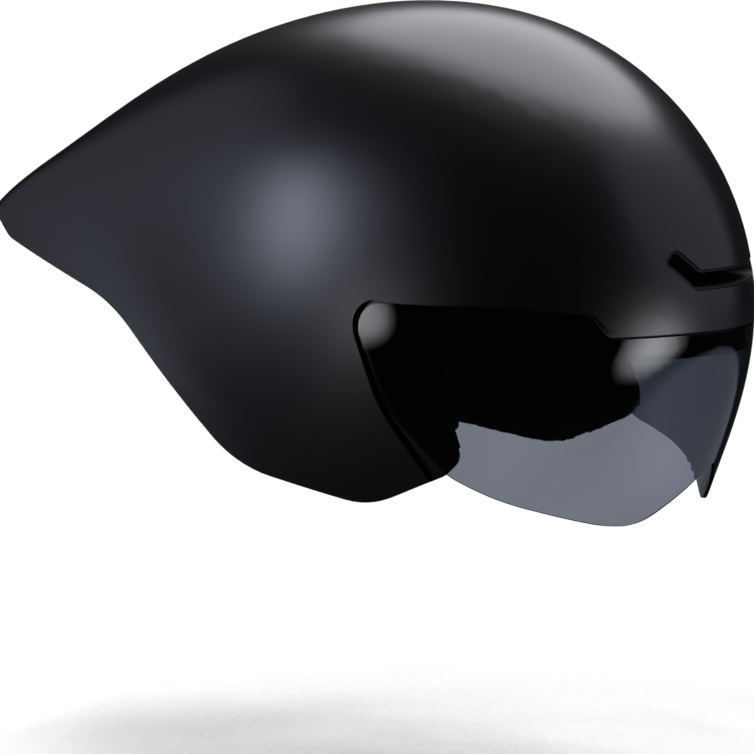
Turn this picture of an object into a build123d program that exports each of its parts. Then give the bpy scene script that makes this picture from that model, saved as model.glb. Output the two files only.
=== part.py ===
from build123d import *
import os
from math import acos, atan2, cos, degrees, hypot, pi, radians, sin, sqrt, tan

os.makedirs("parts", exist_ok=True)

# An aero time trial helmet: a teardrop shell over foam, with a clip-on smoke visor.
# Axes: +X to the rider's left, -Y forward, +Z up. Origin: middle of the head, on the ear line.
# All sizes are in millimetres.

# The head that the helmet fits, and what lies between it and the outside
head_width = 155
head_length = 192
head_rise = 132
side_comfort = 6
crown_comfort = 8
side_foam = 9.5
crown_foam = 36
shell_wall = 2.0
shell_length = 393.5

# Gaps and small fits
seat_gap = 0.3
overrun = 30
facet_step = 0.002

# The fan of sections that makes the skin turns about an axis below the ears
hub_drop = 90
core_radius = 45
hem_tuck_share = 0.135
length_share = 1.468
room_half_width = head_width / 2 + side_comfort
room_half_length = head_length / 2 + side_comfort
room_top = head_rise + crown_comfort
half_width = room_half_width + side_foam + shell_wall
crown_reach = hub_drop + room_top + crown_foam + shell_wall
long_reach = shell_length / length_share

# Each row: fan angle, reach, side fullness, crown roundness, and how far the hem narrows the crown
skin_shares = [
    (18, 0.325, 1.700, 1.955, 0.103),
    (30, 0.402, 1.318, 1.900, 0.241),
    (42, 0.546, 1.288, 1.900, 0.239),
    (53, 0.704, 1.646, 1.953, 0.103),
    (66, 0.834, 2.287, 2.041, -0.043),
    (80, 0.941, 2.886, 2.107, -0.030),
    (95, 1.000, 3.109, 2.121, 0.038),
    (112, 1.040, 2.766, 2.042, 0.084),
    (128, 1.082, 2.245, 1.860, 0.211),
    (140, 1.130, 1.926, 1.712, 0.341),
    (150, 1.195, 1.774, 1.635, 0.420),
    (162, 1.020, 1.676, 1.581, 0.490),
]
fan_angles = [20, 30, 40, 50, 61, 73, 86, 99, 112, 124, 134, 142, 149, 156]
girth_steps = 7


# The skin, as a formula

def skin_row(angle):
    """The skin's four measures at a fan angle, eased between the rows."""
    rows = skin_shares
    last = len(rows) - 1
    k = 0
    while k < last - 1 and rows[k + 1][0] <= angle:
        k += 1
    span = rows[k + 1][0] - rows[k][0]
    t = (angle - rows[k][0]) / span

    def slope(row, column):
        low = rows[max(row - 1, 0)]
        high = rows[min(row + 1, last)]
        return span * (high[column] - low[column]) / (high[0] - low[0])

    values = []
    for column in (1, 2, 3, 4):
        start = rows[k][column] * (1 - 3 * t**2 + 2 * t**3)
        end = rows[k + 1][column] * (3 * t**2 - 2 * t**3)
        rise = slope(k, column) * (t - 2 * t**2 + t**3)
        fall = slope(k + 1, column) * (t**3 - t**2)
        values.append(start + end + rise + fall)
    return values


def bare_skin(angle, girth):
    """A point of the outside: girth 0 is the crown line, plus to the left, minus to the right."""
    reach, fullness, roundness, narrowing = skin_row(angle)
    rho = cos(girth) ** (2 / fullness)
    width = abs(sin(girth)) ** (2 / roundness)
    width *= 1 - narrowing * rho**3
    width *= 1 - hem_tuck_share * (1 - rho) ** 3
    side = half_width * width if girth > 0 else -half_width * width
    turn = radians(angle)
    return Vector(side, -long_reach * reach * rho * cos(turn), crown_reach * reach * rho * sin(turn) - hub_drop)


def skin_normal(angle, girth):
    along = bare_skin(angle, girth + facet_step) - bare_skin(angle, girth - facet_step)
    around = bare_skin(angle + 1, girth) - bare_skin(angle - 1, girth)
    normal = along.cross(around).normalized()
    outward = bare_skin(angle, girth) + Vector(0, 0, hub_drop)
    return normal if normal.dot(outward) > 0 else -normal


def skin(angle, girth, depth):
    """A point at a depth under the outside, kept in the plane of its section."""
    point = bare_skin(angle, girth)
    if depth == 0:
        return point
    turn = radians(angle)
    section = Vector(1, 0, 0).cross(Vector(0, -long_reach * cos(turn), crown_reach * sin(turn)))
    along = bare_skin(angle, girth + facet_step) - bare_skin(angle, girth - facet_step)
    outward = along.cross(section).normalized()
    slant = outward.dot(skin_normal(angle, girth))
    return point - outward * (depth / slant)


def girth_limit(angle, depth):
    """Where an arch ends. Deeper arches end nearer the fan's axis, so that each stands clear of the next."""
    reach, fullness = skin_row(angle)[:2]
    return acos(((core_radius - 2 * depth) / (crown_reach * reach)) ** (fullness / 2))


def plug(depth):
    """The solid inside the skin at a depth, lofted through the fan of arches."""
    steps = range(-girth_steps, girth_steps + 1)
    arches = []
    for angle in fan_angles:
        limit = girth_limit(angle, depth)
        points = [skin(angle, limit * step / girth_steps, depth) for step in steps]
        places = [(step + girth_steps) / (2 * girth_steps) for step in steps]
        arch = Edge.make_spline(points, parameters=places)
        arches.append(Face(Wire([arch, Edge.make_line(points[-1], points[0])])))
    return loft(arches)


def skin_plane(forward, up, depth):
    """A plane on the left of the skin at a depth, square to it, found from its side view place."""
    angle = degrees(atan2((up + hub_drop) / crown_reach, -forward / long_reach))
    reach, fullness = skin_row(angle)[:2]
    rho = hypot(forward / long_reach, (up + hub_drop) / crown_reach) / reach
    girth = acos(rho ** (fullness / 2))
    normal = skin_normal(angle, girth)
    return Plane(bare_skin(angle, girth) - normal * depth, x_dir=(0, 1, 0), z_dir=normal)


# Outlines seen from the side: how far back, how high, and the corner's radius

run_fill_share = 0.98
seat_shares = [
    (-0.560, 0.160, 0),
    (-0.304, 0.160, 0.012),
    (-0.276, 0.198, 0.016),
    (-0.130, 0.209, 0.300),
    (0.127, 0.203, 0.040),
    (0.123, 0.150, 0.030),
    (0.071, 0.030, 0.250),
    (-0.030, -0.090, 0.150),
    (-0.110, -0.260, 0),
    (-0.560, -0.260, 0),
]
visor_hem_shares = [(-0.060, -0.073, 0.100), (-0.196, -0.128, 0.300), (-0.270, -0.164, 0.100), (-0.560, -0.164, 0)]
opening_shares = [
    (-0.560, 0.127, 0),
    (-0.310, 0.127, 0.020),
    (-0.270, 0.142, 0.040),
    (-0.110, 0.149, 0.100),
    (-0.018, 0.146, 0.060),
    (-0.077, -0.045, 0.024),
    (-0.048, -0.074, 0.050),
    (0.090, -0.137, 0.160),
    (0.360, -0.098, 0.280),
    (0.678, 0.139, 0.350),
    (0.978, 0.215, 0.060),
    (1.160, 0.330, 0),
    (1.160, -0.520, 0),
    (-0.560, -0.520, 0),
]


def side_corners(shares, back=0, up=0):
    return [(y * long_reach + back, z * crown_reach + up, r * crown_reach) for y, z, r in shares]


def front_corners(shares):
    return [(x * half_width, z * crown_reach, r * crown_reach) for x, z, r in shares]


def grown(corners, by):
    """The outline moved outwards by a distance, its round corners kept in step."""
    count = len(corners)
    area = 0
    for i in range(count):
        area += corners[i - 1][0] * corners[i][1] - corners[i][0] * corners[i - 1][1]
    turning = 1 if area > 0 else -1
    moved = []
    for i in range(count):
        here = Vector(corners[i][0], corners[i][1])
        run_in = (here - Vector(corners[i - 1][0], corners[i - 1][1])).normalized()
        run_out = (Vector(corners[(i + 1) % count][0], corners[(i + 1) % count][1]) - here).normalized()
        bend = (run_in.X * run_out.Y - run_in.Y * run_out.X) * turning
        side_in = Vector(run_in.Y, -run_in.X) * turning
        side_out = Vector(run_out.Y, -run_out.X) * turning
        push = (side_in + side_out) * (by / (1 + side_in.dot(side_out)))
        radius = corners[i][2]
        if radius > 0:
            radius = max(radius + by if bend > 0 else radius - by, by / 4)
        moved.append((here.X + push.X, here.Y + push.Y, radius))
    return moved


def fitted(corners):
    """The outline with each round corner small enough for the straight runs beside it."""
    points = [Vector(corner[0], corner[1]) for corner in corners]
    count = len(points)
    tangents = []
    for i in range(count):
        run_in = points[i] - points[i - 1]
        run_out = points[(i + 1) % count] - points[i]
        tangents.append(corners[i][2] * tan(radians(run_in.get_angle(run_out)) / 2))
    outline = []
    for i in range(count):
        share = 1
        for other in (i - 1, (i + 1) % count):
            room = (points[other] - points[i]).length * run_fill_share
            if tangents[i] + tangents[other] > room:
                share = min(share, room / (tangents[i] + tangents[other]))
        outline.append((corners[i][0], corners[i][1], corners[i][2] * share))
    return outline


def side_face(corners):
    outline = fitted(corners)
    points = [Vector(0, y, z) for y, z, r in outline]
    return make_face(FilletPolyline(*points, radius=[r for y, z, r in outline], close=True))


def front_face(corners):
    outline = fitted(corners)
    points = [Vector(x, 0, z) for x, z, r in outline]
    return make_face(FilletPolyline(*points, radius=[r for x, z, r in outline], close=True))


def across(corners):
    """The prism of a side view outline, right through the helmet."""
    return extrude(side_face(corners), amount=half_width + overrun, both=True)


def left_prism(shares):
    return extrude(side_face(side_corners(shares)), amount=half_width + overrun, dir=(1, 0, 0))


def other_side(piece):
    return mirror(piece, about=Plane.YZ)


def ahead(face, near=0):
    """The prism of a front view face, from a distance ahead of the origin out past the nose."""
    return extrude(Pos(0, -near, 0) * face, amount=long_reach, dir=(0, -1, 0))


# The shell: two millimetres of moulded skin, stepped in where the visor sits

seat_depth = 3.0
seat_wall = 1.6
slot_shares = [
    (-0.400, 0.274, 0.006),
    (-0.292, 0.2315, 0.012),
    (0.292, 0.2315, 0.012),
    (0.400, 0.274, 0.006),
    (0.358, 0.291, 0.006),
    (0.266, 0.2545, 0.012),
    (-0.266, 0.2545, 0.012),
    (-0.358, 0.291, 0.006),
]
duct_wall = 1.2
duct_gap = 0.2
magnet_forward = -66.5
magnet_up = 46
magnet_radius = 4.8
magnet_thickness = 1.4

seat_corners = side_corners(seat_shares)
slot_corners = front_corners(slot_shares)
duct_corners = grown(slot_corners, duct_wall)
opening = across(side_corners(opening_shares))
magnet_hole_radius = magnet_radius + duct_gap
magnet_plane = skin_plane(magnet_forward, magnet_up, seat_depth)
magnet_hole = magnet_plane * Cylinder(magnet_hole_radius, overrun)


def clear_of_seat(inner, seat_back, wall):
    """The inner plug with the visor's seat pressed into it."""
    return inner - (across(grown(seat_corners, wall)) - seat_back)


outside = plug(0)
shell_inside = clear_of_seat(plug(shell_wall), plug(seat_depth + seat_wall), seat_wall)
seat_cut = across(seat_corners) - plug(seat_depth)
slot_cut = ahead(front_face(grown(duct_corners, duct_gap)), long_reach / 4)
outer_shell = outside - shell_inside - seat_cut - opening - slot_cut
outer_shell -= magnet_hole + other_side(magnet_hole)

# The head room: what the foam leaves free, an oval dome on a nearly straight wall

room_waist = 45
room_shift = 6
room_floor = -110
room_hem_share = 0.95


def head_room(inset):
    half = room_half_width - inset
    top = room_top - inset
    hem = half * room_hem_share
    dome = EllipticalCenterArc((0, room_waist), half, top - room_waist, 0, arc_size=90)
    wall = Spline((half, room_waist), (hem, room_floor), tangents=[(0, -1), (hem - half, room_floor - room_waist)])
    base = Polyline((hem, room_floor), (0, room_floor), (0, top))
    profile = Plane.XZ * make_face(dome + wall + base)
    oval = (room_half_length - inset) / half
    return Pos(0, room_shift, 0) * scale(revolve(profile, Axis.Z), by=(1, oval, 1))


def lining(prism, near, far):
    """What a prism cuts from the layer between two insets of the head room."""
    return (prism & head_room(near)) - head_room(far)


# The foam liner, with a duct from the head room into the hollow tail

foam_gap = 0.2
panel_lift = 0.6
panel_wall = 2.0
foam_set_back = 1.5
foam_lift = panel_lift + panel_wall + seat_gap
foam_rise = 7.5
tail_duct_shares = [(0.370, 0.36, 0.268, 0.090), (0.635, 0.27, 0.300, 0.085), (0.866, 0.10, 0.318, 0.045)]
exhaust_from_share = 0.665
exhaust_to_share = 0.870
exhaust_width_share = 0.150

foam_seat_back = plug(seat_depth + seat_wall + foam_gap)
foam_outside = clear_of_seat(plug(shell_wall + foam_gap), foam_seat_back, seat_wall + foam_gap)
duct_sections = []
for back_share, wide_share, up_share, high_share in tail_duct_shares:
    wide = 2 * wide_share * half_width
    high = 2 * high_share * crown_reach
    place = Plane((0, back_share * long_reach, up_share * crown_reach), x_dir=(1, 0, 0), z_dir=(0, 1, 0))
    duct_sections.append(place * RectangleRounded(wide, high, min(wide, high) / 3))
tail_duct = loft(duct_sections)
exhaust_length = (exhaust_to_share - exhaust_from_share) * long_reach
exhaust_middle = (exhaust_to_share + exhaust_from_share) / 2 * long_reach
exhaust_top = tail_duct_shares[1][2] * crown_reach
exhaust_width = 2 * exhaust_width_share * half_width
exhaust_well = Pos(0, exhaust_middle, exhaust_top / 2) * Box(exhaust_width, exhaust_length, exhaust_top)
eps_liner = foam_outside - head_room(0) - slot_cut - tail_duct - exhaust_well
eps_liner -= across(side_corners(opening_shares, foam_set_back, 0))
eps_liner -= across(side_corners(opening_shares, 0, foam_lift))

# The panel that closes the tail from below, with louvres for the spent air and three screws

panel_front_share = 0.552
panel_back_share = 1.020
louvre_count = 4
louvre_width = 6
louvre_pitch = 13
louvre_first_share = 0.700
screw_radius = 1.4
screw_head_radius = 2.6
screw_head_height = 1.4
screw_length = 7
screw_gap = 0.2
screw_places = [(0.715, 0.36), (0.715, -0.36), (0.935, 0)]

panel_zone = across(side_corners(opening_shares, 0, panel_lift + panel_wall))
panel_zone -= across(side_corners(opening_shares, 0, panel_lift))
panel_span = (panel_back_share - panel_front_share) * long_reach
panel_middle = (panel_back_share + panel_front_share) / 2 * long_reach
panel_box = Pos(0, panel_middle, 0) * Box(2 * half_width, panel_span, crown_reach)
tail_panel = plug(shell_wall + seat_gap) & panel_zone & panel_box
for step in range(louvre_count):
    louvre_back = louvre_first_share * long_reach + step * louvre_pitch
    taper = 1 - step / (2 * louvre_count)
    louvre_length = 2 * exhaust_width_share * half_width * taper
    louvre = RectangleRounded(louvre_length, louvre_width, louvre_width / 3)
    tail_panel -= extrude(Pos(0, louvre_back, 0) * louvre, amount=crown_reach)


def rim_height(back):
    """How high the shell's edge is at a distance back, on the rim's straight runs."""
    rows = [row for row in opening_shares if row[0] > -0.1 and row[0] < 1.1]
    for low, high in zip(rows, rows[1:]):
        if low[0] * long_reach <= back <= high[0] * long_reach:
            part = (back / long_reach - low[0]) / (high[0] - low[0])
            return (low[1] + part * (high[1] - low[1])) * crown_reach
    return 0


flap_back = panel_front_share * long_reach
flap_zone = Pos(0, flap_back - long_reach, 0) * Box(3 * half_width, 2 * long_reach, 2 * crown_reach)
eps_liner -= across(side_corners(opening_shares, 0, foam_rise)) & flap_zone

tail_screws = []
upright = (Align.CENTER, Align.CENTER, Align.MIN)
hanging = (Align.CENTER, Align.CENTER, Align.MAX)
for back_share, aside_share in screw_places:
    back = back_share * long_reach
    seat = rim_height(back) + panel_lift
    aside = aside_share * half_width
    tail_panel -= Pos(aside, back, seat) * Cylinder(screw_radius + screw_gap, overrun)
    eps_liner -= Pos(aside, back, seat) * Cylinder(screw_radius + screw_gap, 2 * screw_length + 4 * panel_wall)
    slope_drop = rim_height(back) - rim_height(back - screw_head_radius - screw_gap)
    head_bottom = seat - screw_head_height - slope_drop
    shank = Cylinder(screw_radius, screw_length + screw_head_height, align=upright)
    head = Cylinder(screw_head_radius, screw_head_height, align=upright)
    tail_screws.append(Pos(aside, back, head_bottom) * (shank + head))
    head_top = head_bottom + screw_head_height + facet_step
    recess = Cylinder(screw_head_radius + screw_gap, overrun, align=hanging)
    tail_panel -= Pos(aside, back, head_top) * recess

# The brow vent's duct: a moulded frame that lines the slot through shell and foam

duct_lip = 0.5
duct_short = 2.0
duct_body = ahead(front_face(duct_corners), long_reach / 4) - ahead(front_face(slot_corners), long_reach / 4)
vent_duct = (duct_body & plug(duct_lip)) - head_room(-duct_short)

# The brow seal: a rubber strip under the edge of the visor's seat

seal_depth = 2.6
seal_thickness = 1.8
seal_height = 2.6
seal_gap = 0.25
seal_end_share = 0.060
seal_zone = across(side_corners(opening_shares, -seal_gap, -seal_gap))
seal_zone -= across(side_corners(opening_shares, -seal_height, -seal_height))
seal_end = seal_end_share * crown_reach
seal_box = Pos(0, -long_reach / 2, seal_end + overrun) * Box(3 * half_width, long_reach, 2 * overrun)
brow_seal = (plug(seal_depth) - plug(seal_depth + seal_thickness)) & seal_zone & seal_box

# The visor: one thin smoke lens, round the face and back over the ears

visor_depth = 0.3
visor_wall = 1.5
visor_top_gap = 1.2
visor_rear_gap = 2.8
visor_step_gap = 2.2
nose_shares = [
    (-0.480, -0.1638),
    (-0.400, -0.1632),
    (-0.325, -0.1575),
    (-0.260, -0.1440),
    (-0.155, -0.1160),
    (-0.065, -0.0880),
    (0.000, -0.0740),
]

visor_corners = []
visor_moves = [(0, -visor_top_gap), (visor_step_gap, -visor_top_gap), (visor_step_gap, -visor_top_gap)]
visor_moves += [(0, -visor_top_gap), (-visor_rear_gap, -visor_top_gap)] + 2 * [(-visor_rear_gap, 0)]
for (back_share, up_share, round_share), (back, up) in zip(seat_shares, visor_moves):
    visor_corners.append((back_share + back / long_reach, up_share + up / crown_reach, round_share))
visor_outline = visor_corners + visor_hem_shares
left_arch = [Vector(x * half_width, 0, z * crown_reach) for x, z in nose_shares]
right_arch = [Vector(-point.X, 0, point.Z) for point in left_arch[-2::-1]]
arch_points = left_arch + right_arch
arch_foot = Vector(0, 0, -half_width)
nose_line = Edge.make_spline(arch_points)
nose_base = Polyline(arch_points[-1], arch_points[-1] + arch_foot, arch_points[0] + arch_foot, arch_points[0])
nose_cut = ahead(make_face(nose_line + nose_base), 0)
visor_lens = (plug(visor_depth) - plug(visor_depth + visor_wall)) & across(side_corners(visor_outline))
visor_lens -= nose_cut
visor_lens -= magnet_hole + other_side(magnet_hole)

# Round magnets hold the visor: one pair let into the lens, one pair into its seat

lens_disc = Cylinder(magnet_radius, magnet_thickness, align=upright)
lens_magnet_left = magnet_plane * (Pos(0, 0, seat_gap) * lens_disc)
shell_magnet_left = magnet_plane * (Pos(0, 0, -magnet_thickness - seat_gap / 2) * lens_disc)

# Comfort pads, stuck to the inside of the foam

pad_gap = 0.3
brow_pad_width = 112
brow_pad_height = 17
brow_pad_up = 49
crown_pad_width = 20
crown_pad_length = 96
crown_pad_aside = 30
front_pad_width = 62
front_pad_length = 20
front_pad_forward = 52
temple_pad_shares = [
    (-0.200, 0.175, 0.012),
    (-0.180, 0.215, 0.020),
    (-0.045, 0.215, 0.020),
    (-0.045, 0.160, 0.020),
    (-0.100, 0.160, 0.030),
]

brow_pad_outline = RectangleRounded(brow_pad_width, brow_pad_height, brow_pad_height / 3)
brow_pad_face = Pos(0, 0, brow_pad_up) * (Plane.XZ * brow_pad_outline)
brow_pad = lining(ahead(brow_pad_face, room_half_length / 4), pad_gap, side_comfort)


def crown_pad(aside, back, width, length):
    outline = Pos(aside, back, room_waist) * RectangleRounded(width, length, min(width, length) / 3)
    return lining(extrude(outline, amount=crown_reach), pad_gap, side_comfort)


crown_pad_left = crown_pad(crown_pad_aside, room_shift + crown_pad_width / 2, crown_pad_width, crown_pad_length)
crown_pad_front = crown_pad(0, -front_pad_forward, front_pad_width, front_pad_length)
temple_pad_left = lining(left_prism(temple_pad_shares), pad_gap, side_comfort)

# The straps, folded up into the head room and buckled there for storage

strap_inset = 7.2
webbing = 1.2
webbing_width = 15
slide_wall = 0.9
front_anchor = (-5, 4)
rear_anchor = (60, 4)
slide_back = 32
slide_up = 40
slide_width = 20
slide_height = 13
anchor_width = 17
anchor_height = 11


def band_prism(start, end, width):
    """A band of a width from one side view place to another, on the left."""
    run = Vector(0, end[0] - start[0], end[1] - start[1])
    middle = Vector(0, (end[0] + start[0]) / 2, (end[1] + start[1]) / 2)
    plane = Plane(middle, x_dir=run, z_dir=(1, 0, 0))
    return extrude(plane * Rectangle(run.length, width), amount=half_width, dir=(1, 0, 0))


def block_prism(back, up, width, height):
    plane = Plane((0, back, up), x_dir=(0, 1, 0), z_dir=(1, 0, 0))
    return extrude(plane * RectangleRounded(width, height, height / 4), amount=half_width, dir=(1, 0, 0))


slide_slot = block_prism(slide_back, slide_up, webbing_width + pad_gap, 2 * slide_height)
slide_block = block_prism(slide_back, slide_up, slide_width, slide_height)
slot_near = strap_inset - pad_gap
slot_far = strap_inset + webbing + pad_gap
strap_slide_left = lining(slide_block, slot_near - slide_wall, slot_far + slide_wall)
strap_slide_left -= lining(slide_slot, slot_near, slot_far)
front_anchor_prism = block_prism(front_anchor[0], front_anchor[1], anchor_width, anchor_height)
rear_anchor_prism = block_prism(rear_anchor[0], rear_anchor[1], anchor_width, anchor_height)
strap_anchor_front_left = lining(front_anchor_prism, pad_gap, strap_inset - seat_gap)
strap_anchor_rear_left = lining(rear_anchor_prism, pad_gap, strap_inset - seat_gap)
slide_foot = slide_up - slide_height / 2 - seat_gap
front_strap = band_prism(front_anchor, (slide_back - webbing_width / 4, slide_foot + webbing_width / 2), webbing_width)
rear_strap = band_prism(rear_anchor, (slide_back + webbing_width / 4, slide_foot + webbing_width / 2), webbing_width)
below_slide = Pos(0, 0, slide_foot - crown_reach / 2) * Box(3 * half_width, long_reach, crown_reach)
halfway = Pos(0, slide_back - long_reach / 2 - seat_gap / 2, 0) * Box(3 * half_width, long_reach, crown_reach)
strap_far = strap_inset + webbing
front_strap_left = lining(front_strap & below_slide & halfway, strap_inset, strap_far)
rear_strap_left = lining((rear_strap & below_slide) - (Pos(0, seat_gap, 0) * halfway), strap_inset, strap_far)

# The buckle lies against the left of the head room, its tongue below its socket

buckle_up = 73
buckle_width = 23
socket_length = 27
socket_height = 8
tongue_length = 12
tongue_height = 5
prong_length = 14
prong_width = 4
prong_height = 3
prong_aside = 7
prong_gap = 0.3
buckle_tilt = 22

buckle_aside = (room_half_width - strap_inset) * sqrt(1 - ((buckle_up - room_waist) / (room_top - strap_inset - room_waist)) ** 2)
buckle_place = Pos(buckle_aside - 7 * socket_height / 8, slide_back, buckle_up) * Rot(0, -buckle_tilt, 0)
socket_body = Pos(0, 0, socket_length / 2) * Box(socket_height, buckle_width, socket_length)
socket_body = fillet(socket_body.edges().filter_by(Axis.X), buckle_width / 8)
buckle_socket = buckle_place * socket_body
tongue_width = buckle_width - prong_width / 2
tongue_body = Pos(0, 0, -tongue_length / 2 - prong_gap) * Box(tongue_height, tongue_width, tongue_length)
tongue_body = fillet(tongue_body.edges().filter_by(Axis.X), prong_width / 2)
for side in (-1, 1):
    prong = Box(prong_height, prong_width, prong_length + prong_width)
    tongue_body += Pos(0, side * prong_aside, prong_length / 2 - prong_width / 2) * prong
    hollow = Box(prong_height + 2 * prong_gap, prong_width + 2 * prong_gap, prong_length + 2 * prong_gap)
    buckle_socket -= buckle_place * (Pos(0, side * prong_aside, prong_length / 2 - prong_gap) * hollow)
buckle_tongue = buckle_place * tongue_body

over_crown = Pos(0, slide_back, room_top / 2) * Box(3 * half_width, webbing_width, 2 * crown_reach)
slide_head = slide_up + slide_height / 2 + seat_gap
above_slide = Pos(0, 0, slide_head + crown_reach / 2) * Box(3 * half_width, long_reach, crown_reach)
whole_strap = lining(over_crown & above_slide, strap_inset, strap_far)
socket_clear = Box(4 * socket_height, 2 * buckle_width, socket_length)
tongue_clear = Box(4 * socket_height, 2 * buckle_width, tongue_length + prong_gap)
whole_strap -= buckle_place * (Pos(0, 0, socket_length / 2 + seat_gap) * socket_clear)
whole_strap -= buckle_place * (Pos(0, 0, -tongue_length / 2 - 2 * prong_gap) * tongue_clear)
strap_pieces = whole_strap.solids().sort_by(Axis.X)
chin_strap_right = strap_pieces[0]
chin_strap_left = strap_pieces[-1]

# The fit system at the nape: a yoke, two toothed bands that a dial draws in, and a height rail

band_radius = 64.4
band_wall = 1.8
band_inset = 11
nape_up = -14
yoke_wall = 2.0
layer_gap = 0.35
cover_wall = 2.0
pinion_teeth = 12
pinion_pitch_radius = 5.0
tooth_depth = 1.6
tooth_thickness = 0.85
mesh_gap = 0.25
shaft_radius = 2.0
shaft_gap = 0.05
rack_height = 4.2
rack_reach = 15
shank_from = 31.5
shank_to = 57
shank_overlap = 1
housing_reach = 17
housing_half_height = 12
knob_radius = 12
knob_height = 5
knob_ribs = 18

nape_part = (room_waist - nape_up) / (room_waist - room_floor)
nape_share = 1 - (1 - room_hem_share) * nape_part
nape_back = room_shift + (room_half_length - band_inset) * nape_share
band_centre = nape_back - band_radius


def ring(inner, outer, low, high):
    """Part of a drum about the band's upright centre line."""
    drum = Cylinder(outer, high - low) - Cylinder(inner, high - low)
    return Pos(0, band_centre, (high + low) / 2) * drum


def wedge(start, end):
    """The upright wedge between two angles from straight back, plus to the left."""
    reach = 2 * band_radius
    edge = []
    for part in (0, 0.5, 1):
        turn = radians(start + (end - start) * part)
        edge.append((reach * sin(turn), band_centre + reach * cos(turn)))
    outline = make_face(Polyline((0, band_centre), *edge, close=True))
    return extrude(Pos(0, 0, -crown_reach) * outline, amount=2 * crown_reach)


band_inner = band_radius - band_wall / 2
band_outer = band_radius + band_wall / 2
rack_tip = pinion_pitch_radius - tooth_depth / 2 + shaft_gap
rack_back = rack_tip + tooth_depth
tooth_pitch = 2 * pi * pinion_pitch_radius / pinion_teeth
tooth_angle = degrees(tooth_pitch / band_radius)


def rack(side, level):
    """A band: teeth inside the housing, a shank outside it; level 1 runs above the pinion."""
    spine_near = nape_up + level * rack_back
    spine_far = nape_up + level * (rack_back + rack_height - tooth_depth)
    low = min(spine_near, spine_far)
    high = max(spine_near, spine_far)
    band = ring(band_inner, band_outer, low, high) & wedge(-side * rack_reach, side * (shank_from + shank_overlap))
    half_height = rack_back + rack_height - tooth_depth
    shank = ring(band_inner, band_outer, nape_up - half_height, nape_up + half_height)
    band += shank & wedge(side * shank_from, side * shank_to)
    teeth_each_way = int(rack_reach / tooth_angle) - 1
    tooth_height = tooth_depth + tooth_thickness / 4
    tooth_middle = nape_up + level * (rack_tip + tooth_height / 2)
    tooth = Pos(0, band_radius, tooth_middle) * Box(tooth_thickness, band_wall, tooth_height)
    for step in range(-teeth_each_way, teeth_each_way + 1):
        turn = (step + 0.5) * tooth_angle
        band += Pos(0, band_centre, 0) * (Rot(0, 0, -turn) * tooth)
    return band


band_left = rack(1, 1)
band_right = rack(-1, -1)

pinion_back = band_centre + band_radius
pinion_core = Cylinder(rack_tip - mesh_gap, band_wall)
tooth_reach = rack_back - mesh_gap
pinion_tooth = Pos(tooth_reach / 2, 0, 0) * Box(tooth_reach, tooth_thickness, band_wall)
for step in range(pinion_teeth):
    pinion_core += Rot(0, 0, step * 360 / pinion_teeth) * pinion_tooth
cover_inner = band_outer + layer_gap
cover_outer = cover_inner + cover_wall
knob_from = cover_outer + layer_gap
shaft_length = knob_from + knob_height / 2 - band_radius
pinion_core += Pos(0, 0, shaft_length / 2) * Cylinder(shaft_radius, shaft_length)
dial_pinion = Pos(0, pinion_back, nape_up) * (Rot(-90, 0, 0) * pinion_core)

rib_radius = knob_height / 8
knob_body = Cylinder(knob_radius - rib_radius, knob_height)
knob_rib = Pos(knob_radius - rib_radius, 0, 0) * Cylinder(rib_radius, knob_height)
for step in range(knob_ribs):
    knob_body += Rot(0, 0, step * 360 / knob_ribs) * knob_rib
knob_bore = Cylinder(shaft_radius + shaft_gap, knob_height)
screw_well = Pos(0, 0, knob_height / 2) * Cylinder(screw_head_radius + screw_gap, 2 * screw_head_height)
knob_body -= knob_bore + screw_well
dial_knob = Pos(0, band_centre + knob_from + knob_height / 2, nape_up) * (Rot(-90, 0, 0) * knob_body)
dial_screw = Cylinder(screw_head_radius, screw_head_height - 2 * shaft_gap)
screw_back = band_centre + knob_from + knob_height - screw_head_height / 2
dial_screw = Pos(0, screw_back, nape_up) * (Rot(-90, 0, 0) * dial_screw)

# The yoke carries the bands; a cover closes them in and a hanger carries it all on the rail

yoke_outer = band_inner - layer_gap
yoke_inner = yoke_outer - yoke_wall
yoke_reach = 38
yoke_half_height = 16
hanger_width = 14
hanger_top = 44
stud_radius = 2.2
stud_up = 28
pad_depth = 4.5
yoke_width = 2 * band_radius * sin(radians(yoke_reach))
yoke_plate = RectangleRounded(yoke_width, 2 * yoke_half_height, yoke_half_height / 2)
yoke_face = Pos(0, 0, nape_up) * (Plane.XZ * yoke_plate)
hanger_plate = RectangleRounded(hanger_width, hanger_top - nape_up, hanger_width / 4)
hanger_face = Pos(0, 0, (hanger_top + nape_up) / 2) * (Plane.XZ * hanger_plate)
yoke_outline = extrude(yoke_face + hanger_face, amount=2 * band_radius, dir=(0, 1, 0))
yoke_prism = Pos(0, band_centre, 0) * yoke_outline
cradle_yoke = ring(yoke_inner, yoke_outer, nape_up - crown_reach, nape_up + crown_reach) & yoke_prism

cover_low = nape_up - housing_half_height
cover_high = nape_up + housing_half_height
dial_cover = ring(cover_inner, cover_outer, cover_low, cover_high) & wedge(-housing_reach, housing_reach)
lip_inner = yoke_outer + layer_gap
for level in (-1, 1):
    lip_far = nape_up + level * housing_half_height
    lip_near = nape_up + level * (rack_back + rack_height - tooth_depth + layer_gap)
    lip = ring(lip_inner, cover_inner, min(lip_far, lip_near), max(lip_far, lip_near))
    dial_cover += lip & wedge(-housing_reach, housing_reach)
shaft_way = Rot(-90, 0, 0) * Cylinder(shaft_radius + shaft_gap, 4 * cover_wall)
dial_cover -= Pos(0, band_centre + cover_outer, nape_up) * shaft_way

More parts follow.
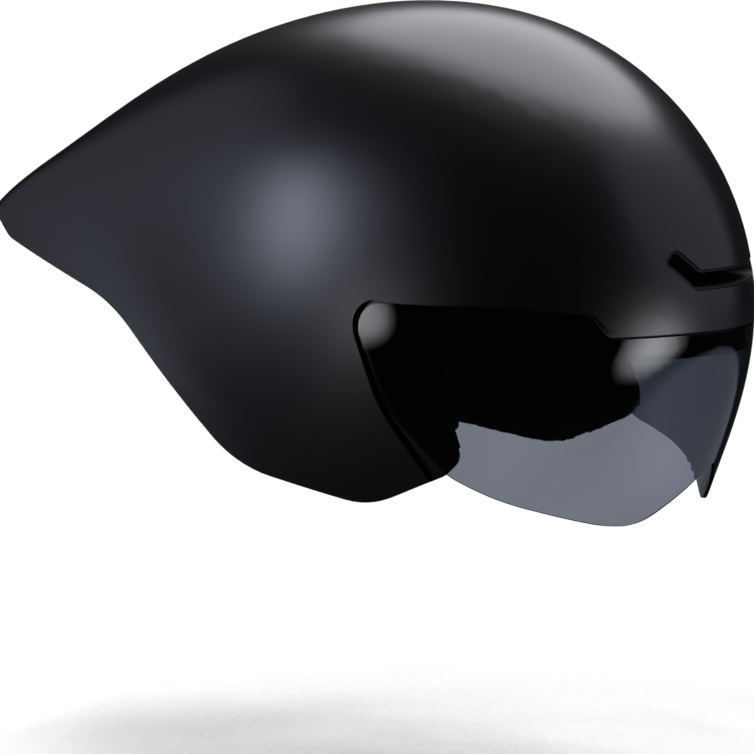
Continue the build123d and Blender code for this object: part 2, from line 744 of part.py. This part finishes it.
nape_pad_plate = RectangleRounded(yoke_width - 8 * yoke_wall, 1.5 * yoke_half_height, yoke_half_height / 3)
nape_pad_face = Pos(0, 0, nape_up) * (Plane.XZ * nape_pad_plate)
nape_prism = Pos(0, band_centre, 0) * extrude(nape_pad_face, amount=2 * band_radius, dir=(0, 1, 0))
nape_pad_outer = yoke_inner - seat_gap
nape_pad = ring(nape_pad_outer - pad_depth, nape_pad_outer, cover_low - overrun, cover_high + overrun)
nape_pad &= nape_prism

# The rail on the foam: the hanger's stud slides up and down in its slot

rail_gap = 0.4
rail_wall = 2.4
rail_width = 18
rail_low = 8
rail_high = 48
rail_slot_half = 10.5
stud = Cylinder(stud_radius, rail_wall + 2 * rail_gap)
stud_back = band_centre + yoke_outer + rail_gap + rail_wall / 2
cradle_stud = Pos(0, stud_back, stud_up) * (Rot(-90, 0, 0) * stud)
stud_head = Rot(-90, 0, 0) * Cylinder(2 * stud_radius, rail_wall / 2)
cradle_stud += Pos(0, stud_back + rail_wall / 2 + 2 * rail_gap, stud_up) * stud_head
rail_front = band_centre + yoke_outer + rail_gap
rail_height = rail_high - rail_low
rail_middle = (rail_high + rail_low) / 2
rail_plate = Pos(0, rail_front + rail_wall / 2, rail_middle) * Box(rail_width, rail_wall, rail_height)
rail_plate = fillet(rail_plate.edges().filter_by(Axis.Y), rail_width / 6)
rail_slot = SlotOverall(2 * (rail_slot_half + stud_radius), 2 * (stud_radius + shaft_gap))
slot_plane = Plane((0, rail_front, stud_up), x_dir=(0, 0, 1), z_dir=(0, 1, 0))
rail_plate -= extrude(slot_plane * rail_slot, amount=2 * rail_wall, both=True)
rail_leg = Box(rail_wall, room_half_length / 2, rail_height - rail_width / 3)
height_rail = rail_plate
for side in (-1, 1):
    leg_aside = side * (rail_width - rail_wall) / 2
    height_rail += Pos(leg_aside, rail_front + room_half_length / 4, rail_middle) * rail_leg
height_rail &= head_room(seat_gap)
height_rail -= Pos(0, rail_front - overrun, 0) * Box(half_width, 2 * overrun, crown_reach)

# The front arms run from the bands to anchors in the foam at the temples

arm_height = 8
arm_low = nape_up - arm_height / 2
arm_bend = 82
arm_clear = 1
arm_front_back = 14
arm_front_aside = 70
arc_turn = radians(arm_bend)
arm_arc = CenterArc((0, band_centre), band_radius, 90 - arm_bend, arm_bend - shank_to - arm_clear)
bend_point = Vector(band_radius * sin(arc_turn), band_centre + band_radius * cos(arc_turn))
arm_tip = Vector(arm_front_aside, arm_front_back)
arm_line = Line(bend_point, arm_tip)
arm_face = trace(arm_arc + arm_line, line_width=band_wall)
arm_left = extrude(Pos(0, 0, arm_low) * arm_face, amount=arm_height)
temple_block = block_prism(arm_front_back - anchor_height / 2, nape_up, anchor_height, arm_height)
temple_near = arm_front_aside + band_wall / 2 + seat_gap
temple_cut = Pos(temple_near + half_width / 2, 0, 0) * Box(half_width, long_reach, crown_reach)
temple_anchor_left = temple_block & head_room(pad_gap) & temple_cut

nodes = {
    "outer_shell": outer_shell,
    "eps_liner": eps_liner,
    "tail_panel": tail_panel,
    "tail_screws": Compound(children=[Solid(screw.solid().wrapped) for screw in tail_screws]),
    "vent_duct": vent_duct,
    "brow_seal": brow_seal,
    "shell_magnet_left": shell_magnet_left,
    "shell_magnet_right": other_side(shell_magnet_left),
    "visor_lens": visor_lens,
    "lens_magnet_left": lens_magnet_left,
    "lens_magnet_right": other_side(lens_magnet_left),
    "brow_pad": brow_pad,
    "crown_pad_front": crown_pad_front,
    "crown_pad_left": crown_pad_left,
    "crown_pad_right": other_side(crown_pad_left),
    "temple_pad_left": temple_pad_left,
    "temple_pad_right": other_side(temple_pad_left),
    "strap_anchor_front_left": strap_anchor_front_left,
    "strap_anchor_front_right": other_side(strap_anchor_front_left),
    "strap_anchor_rear_left": strap_anchor_rear_left,
    "strap_anchor_rear_right": other_side(strap_anchor_rear_left),
    "front_strap_left": front_strap_left,
    "front_strap_right": other_side(front_strap_left),
    "rear_strap_left": rear_strap_left,
    "rear_strap_right": other_side(rear_strap_left),
    "strap_slide_left": strap_slide_left,
    "strap_slide_right": other_side(strap_slide_left),
    "chin_strap_left": chin_strap_left,
    "chin_strap_right": chin_strap_right,
    "buckle_socket": buckle_socket,
    "buckle_tongue": buckle_tongue,
    "cradle_yoke": cradle_yoke,
    "cradle_stud": cradle_stud,
    "nape_pad": nape_pad,
    "dial_cover": dial_cover,
    "dial_pinion": dial_pinion,
    "dial_knob": dial_knob,
    "dial_screw": dial_screw,
    "band_left": band_left,
    "band_right": band_right,
    "height_rail": height_rail,
    "arm_left": arm_left,
    "arm_right": other_side(arm_left),
    "temple_anchor_left": temple_anchor_left,
    "temple_anchor_right": other_side(temple_anchor_left),
}
for name, piece in nodes.items():
    export_step(piece, f"parts/{name}.step")
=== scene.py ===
import bpy
from math import cos, pi, radians, sin
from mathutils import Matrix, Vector


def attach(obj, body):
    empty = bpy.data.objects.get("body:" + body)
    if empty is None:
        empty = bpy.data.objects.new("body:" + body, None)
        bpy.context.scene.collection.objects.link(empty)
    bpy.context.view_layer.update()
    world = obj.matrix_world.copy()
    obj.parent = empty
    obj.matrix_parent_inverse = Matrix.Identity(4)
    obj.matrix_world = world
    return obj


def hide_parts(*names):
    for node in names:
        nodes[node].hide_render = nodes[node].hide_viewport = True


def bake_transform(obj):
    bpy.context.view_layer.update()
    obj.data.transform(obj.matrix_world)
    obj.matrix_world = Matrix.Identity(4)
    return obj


# The frame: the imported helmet, in metres, with +X to the rider's left, -Y forward and +Z up.
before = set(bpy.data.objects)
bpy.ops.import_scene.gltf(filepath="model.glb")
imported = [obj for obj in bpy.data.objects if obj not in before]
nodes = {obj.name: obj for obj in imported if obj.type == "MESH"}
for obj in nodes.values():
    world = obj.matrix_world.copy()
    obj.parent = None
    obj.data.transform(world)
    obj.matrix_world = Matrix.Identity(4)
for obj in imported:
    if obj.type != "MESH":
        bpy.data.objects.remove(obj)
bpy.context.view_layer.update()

# The outer shell: thin moulded skin in smooth satin black, with the fine grain of sprayed paint.
# The coat's own roughness drifts a little over the surface, as hand-sprayed paint does.
shell_color = (0.0006, 0.0009, 0.0030)
shell_roughness = (0.29, 0.33)
shell_lacquer_roughness = 0.30
shell_lacquer = 1.0
shell_gloss = 1.0
shell_drift_scale = 9
shell_grain_scale = 2600
shell_grain = 0.00002
grain_detail = 3


def principled(name, color, roughness, **sockets):
    """A material with one shader. A socket is named with underscores for its spaces."""
    material = bpy.data.materials.new(name)
    material.use_nodes = True
    shader = material.node_tree.nodes["Principled BSDF"]
    shader.inputs["Base Color"].default_value = (*color, 1)
    shader.inputs["Roughness"].default_value = roughness
    for socket, value in sockets.items():
        shader.inputs[socket.replace("_", " ")].default_value = value
    return material


def shader_of(material):
    return material.node_tree.nodes["Principled BSDF"]


def add_grain(material, texture, scale, height):
    """Fine relief over the whole surface, from one texture in object space."""
    tree = material.node_tree
    place = tree.nodes.new("ShaderNodeTexCoord")
    pattern = tree.nodes.new(texture)
    pattern.inputs["Scale"].default_value = scale
    if texture == "ShaderNodeTexNoise":
        pattern.inputs["Detail"].default_value = grain_detail
    bump = tree.nodes.new("ShaderNodeBump")
    bump.inputs["Strength"].default_value = 1
    bump.inputs["Distance"].default_value = height
    tree.links.new(place.outputs["Object"], pattern.inputs["Vector"])
    out = "Fac" if texture == "ShaderNodeTexNoise" else "Distance"
    tree.links.new(pattern.outputs[out], bump.inputs["Height"])
    tree.links.new(bump.outputs["Normal"], shader_of(material).inputs["Normal"])


def add_drift(material, scale, low, high):
    """Roughness that drifts between two values in broad patches."""
    tree = material.node_tree
    place = tree.nodes.new("ShaderNodeTexCoord")
    pattern = tree.nodes.new("ShaderNodeTexNoise")
    pattern.inputs["Scale"].default_value = scale
    spread = tree.nodes.new("ShaderNodeMapRange")
    spread.inputs["To Min"].default_value = low
    spread.inputs["To Max"].default_value = high
    tree.links.new(place.outputs["Object"], pattern.inputs["Vector"])
    tree.links.new(pattern.outputs["Fac"], spread.inputs["Value"])
    tree.links.new(spread.outputs["Result"], shader_of(material).inputs["Roughness"])


def dress(name, material):
    """Gives a CAD node its finish, in the slots of its object."""
    node = nodes[name]
    for place in node.material_slots:
        place.link = "OBJECT"
        place.material = material


shell_paint = principled("shell_paint", shell_color, shell_roughness[0], Coat_Weight=shell_lacquer,
                         Coat_Roughness=shell_lacquer_roughness, Specular_IOR_Level=shell_gloss)
add_drift(shell_paint, shell_drift_scale, *shell_roughness)
add_grain(shell_paint, "ShaderNodeTexNoise", shell_grain_scale, shell_grain)
dress("outer_shell", shell_paint)

# The liner: black bead foam, its beads about four millimetres across under a thin skin.
bead_size = 0.004
bead_depth = 0.00025
foam_color = (0.012, 0.012, 0.013)
foam_roughness = 0.75
soft_gloss = 0.2
foam = principled("liner_foam", foam_color, foam_roughness, Specular_IOR_Level=soft_gloss)
add_grain(foam, "ShaderNodeTexVoronoi", 1 / bead_size, bead_depth)
dress("eps_liner", foam)

# The tail panel, the vent's duct, the rail, anchors, slides and cradle: matte moulded nylon with a
# fine spark texture.
spark_size = 0.0004
spark_depth = 0.00003
nylon_color = (0.011, 0.011, 0.012)
nylon_roughness = 0.52
nylon = principled("moulded_nylon", nylon_color, nylon_roughness)
add_grain(nylon, "ShaderNodeTexNoise", 1 / spark_size, spark_depth)
nylon_nodes = ["tail_panel", "vent_duct", "cradle_yoke", "cradle_stud", "dial_cover", "height_rail"]
for side in ("left", "right"):
    nylon_nodes += [f"temple_anchor_{side}", f"strap_slide_{side}"]
    nylon_nodes += [f"strap_anchor_front_{side}", f"strap_anchor_rear_{side}"]
for name in nylon_nodes:
    dress(name, nylon)

# The bands and arms: flexible nylon, glossier than the housing. The dial's pinion: acetal, much
# paler, as it is moulded without pigment.
flexible_color = (0.014, 0.014, 0.015)
flexible_roughness = 0.38
acetal_color = (0.09, 0.09, 0.088)
acetal_roughness = 0.4
smooth_spark_depth = spark_depth / 3
flexible = principled("flexible_nylon", flexible_color, flexible_roughness)
add_grain(flexible, "ShaderNodeTexNoise", 1 / spark_size, smooth_spark_depth)
for side in ("left", "right"):
    dress(f"band_{side}", flexible)
    dress(f"arm_{side}", flexible)
acetal = principled("acetal", acetal_color, acetal_roughness)
add_grain(acetal, "ShaderNodeTexNoise", 1 / spark_size, smooth_spark_depth)
dress("dial_pinion", acetal)

# The dial's knob: soft black rubber with a dusty bloom.
knob_color = (0.018, 0.018, 0.018)
knob_roughness = 0.7
rubber = principled("soft_rubber", knob_color, knob_roughness)
add_grain(rubber, "ShaderNodeTexNoise", 1 / spark_size, spark_depth)
dress("dial_knob", rubber)

# The seal at the brow: closed-cell rubber.
seal_color = (0.010, 0.010, 0.011)
seal_roughness = 0.6
seal = principled("seal_rubber", seal_color, seal_roughness)
add_grain(seal, "ShaderNodeTexNoise", 1 / spark_size, spark_depth)
dress("brow_seal", seal)

# Magnets and screws: nickel plate and black oxide, lightly scratched.
scratch_scale = 900
scratch_depth = 0.000003
nickel_color = (0.035, 0.036, 0.04)
nickel_roughness = 0.28
oxide_color = (0.06, 0.06, 0.065)
oxide_roughness = 0.35
nickel = principled("nickel_plate", nickel_color, nickel_roughness, Metallic=1)
add_grain(nickel, "ShaderNodeTexNoise", scratch_scale, scratch_depth)
oxide = principled("black_oxide", oxide_color, oxide_roughness, Metallic=1)
add_grain(oxide, "ShaderNodeTexNoise", scratch_scale, scratch_depth)
for side in ("left", "right"):
    dress(f"shell_magnet_{side}", nickel)
    dress(f"lens_magnet_{side}", nickel)
dress("tail_screws", oxide)
dress("dial_screw", oxide)

# The buckle: glossy moulded nylon.
buckle_color = (0.009, 0.009, 0.010)
buckle_roughness = 0.22
buckle_spark_depth = spark_depth / 6
buckle_nylon = principled("buckle_nylon", buckle_color, buckle_roughness)
add_grain(buckle_nylon, "ShaderNodeTexNoise", 1 / spark_size, buckle_spark_depth)
dress("buckle_socket", buckle_nylon)
dress("buckle_tongue", buckle_nylon)

# The lens: one thin sheet of smoke polycarbonate, polished on both faces.
lens_tint = (0.073, 0.123, 0.226)
lens_density = 1195
lens_bend = 1.585
lens_roughness = 0.02
lens_glass = principled("smoke_polycarbonate", (1, 1, 1), lens_roughness,
                        Transmission_Weight=1, IOR=lens_bend)
smoke = lens_glass.node_tree.nodes.new("ShaderNodeVolumeAbsorption")
smoke.inputs["Color"].default_value = (*lens_tint, 1)
smoke.inputs["Density"].default_value = lens_density
lens_out = lens_glass.node_tree.nodes["Material Output"]
lens_glass.node_tree.links.new(smoke.outputs["Volume"], lens_out.inputs["Volume"])
dress("visor_lens", lens_glass)

# The pads: foam cores in brushed knit. Each starts as its solid's shape, is rounded, and swells
# again as cloth under pressure, so it fills the same space.
pad_voxel = 0.0022
pad_rounding = 12
pad_ease = 0.5
pad_swell = 0.0012
pad_pressure = 15
pad_steps = 20
knit_pitch = 0.0011
knit_depth = 0.00012
knit_color = (0.014, 0.014, 0.016)
knit_roughness = 0.85
fabric_sheen = 0.1
knit_sheen_roughness = 0.5
knit = principled("pad_knit", knit_color, knit_roughness, Specular_IOR_Level=soft_gloss,
                  Sheen_Weight=fabric_sheen, Sheen_Roughness=knit_sheen_roughness)
add_grain(knit, "ShaderNodeTexVoronoi", 1 / knit_pitch, knit_depth)


def copy_of(name, new_name):
    """A new piece that starts with a CAD node's mesh."""
    piece = bpy.data.objects.new(new_name, nodes[name].data.copy())
    bpy.context.collection.objects.link(piece)
    return piece


def apply_modifiers(piece):
    """Makes the modified shape the mesh itself."""
    graph = bpy.context.evaluated_depsgraph_get()
    mesh = bpy.data.meshes.new_from_object(piece.evaluated_get(graph))
    piece.modifiers.clear()
    piece.data = mesh


def blow_up(pad):
    """Swells a pad as cloth under pressure, each point by pad_swell at most."""
    scene = bpy.context.scene
    cloth = pad.modifiers.new("cloth", "CLOTH").settings
    cloth.use_pressure = True
    cloth.uniform_pressure_force = pad_pressure
    cloth.effector_weights.gravity = 0
    for step in range(1, pad_steps + 1):
        scene.frame_set(step)
    blown = pad.evaluated_get(bpy.context.evaluated_depsgraph_get()).data
    moves = [new.co - old.co for new, old in zip(blown.vertices, pad.data.vertices)]
    pad.modifiers.clear()
    scene.frame_set(1)
    for point, move in zip(pad.data.vertices, moves):
        point.co += move * (pad_swell / max(move.length, pad_swell))


def soft_pad(name, body):
    """A pad in a node's place: rounded, then swollen."""
    pad = copy_of(name, f"{name}_soft")
    rounded = pad.modifiers.new("voxels", "REMESH")
    rounded.mode = "VOXEL"
    rounded.voxel_size = pad_voxel
    rounded.use_smooth_shade = True
    ease = pad.modifiers.new("ease", "SMOOTH")
    ease.factor = pad_ease
    ease.iterations = pad_rounding
    apply_modifiers(pad)
    blow_up(pad)
    finer = pad.modifiers.new("finer", "SUBSURF")
    finer.levels = 1
    apply_modifiers(pad)
    pad.data.materials.clear()
    pad.data.materials.append(knit)
    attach(pad, body)
    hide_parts(name)


for name in ("brow_pad", "crown_pad_front", "crown_pad_left", "crown_pad_right",
             "temple_pad_left", "temple_pad_right"):
    soft_pad(name, "helmet")
soft_pad("nape_pad", "cradle")

# The straps: flat woven webbing, fifteen millimetres wide, with rounded edges and a ribbed weave.
# The left chin strap ends in the buckle's tongue, and is baked in place rather than attached to a
# body.
strap_edge = 0.00035
strap_edge_angle = 50
slide_end = (0.0735, 0.032, 0.0475)
tongue_end = (0.0710, 0.032, 0.0600)
weave_pitch = 0.0009
weave_depth = 0.0001
weave_color = (0.012, 0.012, 0.013)
weave_roughness = 0.7
weave = principled("strap_weave", weave_color, weave_roughness, Specular_IOR_Level=soft_gloss,
                   Sheen_Weight=fabric_sheen)
add_grain(weave, "ShaderNodeTexVoronoi", 1 / weave_pitch, weave_depth)


def woven_strap(name, gives_way=None):
    """A strap in a node's place, its edges rounded as woven tape is."""
    strap = copy_of(name, f"{name}_woven")
    edge = strap.modifiers.new("edge", "BEVEL")
    edge.width = strap_edge
    edge.segments = 2
    edge.limit_method = "ANGLE"
    edge.angle_limit = radians(strap_edge_angle)
    apply_modifiers(strap)
    strap.data.materials.clear()
    strap.data.materials.append(weave)
    if gives_way:
        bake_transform(strap)
    else:
        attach(strap, "helmet")
    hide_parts(name)


for side in ("left", "right"):
    for name in (f"front_strap_{side}", f"rear_strap_{side}"):
        woven_strap(name)
woven_strap("chin_strap_right")
woven_strap("chin_strap_left", (slide_end, tongue_end))

# The floor: a pale sheet of paper well below the helmet, with a faint painted shadow in its glow.
# Rays that look at it, or through the lens, see it white; gloss sees it dimly, as in a dark studio.
floor_height = -0.176
floor_reach = 1.35
floor_sides = 96
floor_color = (0.008, 0.008, 0.008)
# The painted shadow: the floor's glow is dimmed where ambient occlusion finds the helmet above.
painted_shadow_reach = 0.22
painted_shadow_range = (0.86, 0.915)
painted_shadow_glow = 0.5
mirror_share = 0.01


def staged_disc(name, reach):
    """A flat disc for the stage, and the empty node tree of its material."""
    turns = [2 * pi * step / floor_sides for step in range(floor_sides)]
    mesh = bpy.data.meshes.new(name)
    mesh.from_pydata([(cos(turn), sin(turn), 0) for turn in turns], [], [tuple(range(floor_sides))])
    disc = bpy.data.objects.new(name, mesh)
    disc.scale = (reach[0], reach[1], 1)
    bpy.context.collection.objects.link(disc)
    material = bpy.data.materials.new(name)
    material.use_nodes = True
    material.node_tree.nodes.clear()
    mesh.materials.append(material)
    return disc, material.node_tree


def worked_out(tree, operation, first, second):
    """The outcome of a sum on two sockets, the second of which may be a number."""
    step = tree.nodes.new("ShaderNodeMath")
    step.operation = operation
    tree.links.new(first, step.inputs[0])
    if isinstance(second, (int, float)):
        step.inputs[1].default_value = second
    else:
        tree.links.new(second, step.inputs[1])
    return step.outputs[0]


def seen_share(tree):
    """One for rays that look straight or through the lens, and a small share for mirrored ones."""
    ray = tree.nodes.new("ShaderNodeLightPath").outputs
    unmirrored = worked_out(tree, "LESS_THAN", ray["Glossy Depth"], 1)
    through = worked_out(tree, "MULTIPLY", unmirrored, ray["Is Transmission Ray"])
    straight = worked_out(tree, "MAXIMUM", through, ray["Is Camera Ray"])
    mirrored = worked_out(tree, "MULTIPLY", ray["Is Glossy Ray"], mirror_share)
    return worked_out(tree, "MAXIMUM", straight, mirrored)


floor, tree = staged_disc("floor", (floor_reach, floor_reach))
floor.location.z = floor_height
matte = tree.nodes.new("ShaderNodeBsdfDiffuse")
matte.inputs["Color"].default_value = (*floor_color, 1)
glow = tree.nodes.new("ShaderNodeEmission")
# Painted shadow: ambient occlusion under the helmet dims the glow that rays see.
painted_shadow_occlusion = tree.nodes.new("ShaderNodeAmbientOcclusion")
painted_shadow_occlusion.inputs["Distance"].default_value = painted_shadow_reach
shade = tree.nodes.new("ShaderNodeMapRange")
shade.inputs["From Min"].default_value = painted_shadow_range[0]
shade.inputs["From Max"].default_value = painted_shadow_range[1]
shade.inputs["To Min"].default_value = painted_shadow_glow
both = tree.nodes.new("ShaderNodeAddShader")
out = tree.nodes.new("ShaderNodeOutputMaterial")
tree.links.new(painted_shadow_occlusion.outputs["AO"], shade.inputs["Value"])
strength = worked_out(tree, "MULTIPLY", seen_share(tree), shade.outputs["Result"])
tree.links.new(strength, glow.inputs["Strength"])
tree.links.new(matte.outputs[0], both.inputs[0])
tree.links.new(glow.outputs[0], both.inputs[1])
tree.links.new(both.outputs[0], out.inputs["Surface"])

# The air round it: white to the eye and through the lens, and dim to everything that it lights.
world_glow = 0.10
world = bpy.data.worlds.new("studio")
world.use_nodes = True
tree = world.node_tree
air = tree.nodes["Background"]
air.inputs["Color"].default_value = (1, 1, 1, 1)
ray = tree.nodes.new("ShaderNodeLightPath")
dim = worked_out(tree, "MULTIPLY", ray.outputs["Is Diffuse Ray"], world_glow)
tree.links.new(worked_out(tree, "MAXIMUM", dim, seen_share(tree)), air.inputs["Strength"])
bpy.context.scene.world = world

# The lamps: large soft discs, their light cool but for the one over the crown. One lies behind the
# tail, one behind the right flank for its round highlight, and one in front.
lamp_aim = Vector((-0.05, 0.02, 0.08))
cool = (0.74, 0.80, 1.0)
pale = (0.93, 0.95, 1.0)


def direction_of(toward):
    """The unit vector of a direction, given as a turn from straight back and a height."""
    turn, height = (radians(angle) for angle in toward)
    return Vector((sin(turn) * cos(height), cos(turn) * cos(height), sin(height)))


def soft_lamp(name, toward, distance, size, power, color):
    """A disc that faces the helmet from a direction."""
    place = direction_of(toward) * distance
    light = bpy.data.lights.new(name, "AREA")
    light.shape = "DISK"
    light.size = size
    light.energy = power
    light.color = color
    lamp = bpy.data.objects.new(name, light)
    lamp.location = place + lamp_aim
    lamp.rotation_euler = (-place).to_track_quat("-Z", "Y").to_euler()
    lamp.visible_camera = False
    lamp.visible_transmission = False
    bpy.context.collection.objects.link(lamp)


soft_lamp("crown_lamp", toward=(75, 69), distance=2.2, size=3.16, power=50, color=pale)
soft_lamp("tail_lamp", toward=(-7, 19), distance=2.3, size=1.33, power=0.87, color=cool)
soft_lamp("flank_lamp", toward=(-37, 13), distance=2.2, size=0.69, power=3.6, color=cool)
soft_lamp("front_lamp", toward=(161, 29), distance=2.2, size=3.25, power=6.3, color=cool)

# The reflectors: glowing discs that only glossy surfaces see. One leaves the soft patch of light
# on the lens under its upper edge, one the patch at its rear end, and a card on the floor lights
# the lens's front.
visor_front = Vector((-0.046, -0.093, 0.036))
visor_rear = Vector((-0.087, 0.024, 0.047))
card_middle = Vector((0.22, -0.44, -0.165))
card_reach = 0.36
up = Vector((0, 0, 1))


def reflector(name, place, faces, reach, glow_level, edge, color):
    """A disc that glows evenly inside its soft edge, given as a share of its reach."""
    disc, tree = staged_disc(name, reach)
    disc.location = place
    disc.rotation_euler = faces.to_track_quat("Z", "Y").to_euler()
    for sight in ("camera", "diffuse", "transmission", "shadow"):
        setattr(disc, f"visible_{sight}", False)
    middle = tree.nodes.new("ShaderNodeTexCoord")
    fade = tree.nodes.new("ShaderNodeTexGradient")
    fade.gradient_type = "SPHERICAL"
    level = tree.nodes.new("ShaderNodeMapRange")
    level.interpolation_type = "SMOOTHSTEP"
    level.inputs["From Max"].default_value = edge
    level.inputs["To Max"].default_value = glow_level
    glow = tree.nodes.new("ShaderNodeEmission")
    glow.inputs["Color"].default_value = (*color, 1)
    out = tree.nodes.new("ShaderNodeOutputMaterial")
    tree.links.new(middle.outputs["Object"], fade.inputs["Vector"])
    tree.links.new(fade.outputs["Fac"], level.inputs["Value"])
    tree.links.new(level.outputs["Result"], glow.inputs["Strength"])
    tree.links.new(glow.outputs[0], out.inputs["Surface"])


def facing_reflector(name, target, toward, distance, **make):
    """A reflector that faces a point of the helmet."""
    outward = direction_of(toward)
    reflector(name, target + outward * distance, -outward, **make)


facing_reflector("brow_reflector", visor_front, toward=(-167, -12), distance=0.38,
                 reach=(0.123, 0.074), glow_level=5.6, edge=1.0, color=pale)
facing_reflector("side_reflector", visor_rear, toward=(-54, 1.5), distance=0.9,
                 reach=(0.09, 0.09), glow_level=3.6, edge=0.8, color=pale)
reflector("card", card_middle, up, reach=(card_reach, card_reach),
          glow_level=0.55, edge=0.3, color=cool)

# The camera: far off with a long lens, at the photograph's angle.
eye = Vector((-1.8839, -1.0277, 0.3689))
aim = Vector((-0.0094, 0.0660, 0.0060))
focal = 231.1
sensor = 36
camera = bpy.data.objects.new("camera", bpy.data.cameras.new("camera"))
camera.data.lens = focal
camera.data.sensor_width = sensor
camera.location = eye
camera.rotation_euler = (aim - eye).to_track_quat("-Z", "Y").to_euler()
bpy.context.collection.objects.link(camera)
bpy.context.scene.camera = camera
bpy.context.scene.view_settings.view_transform = "Standard"
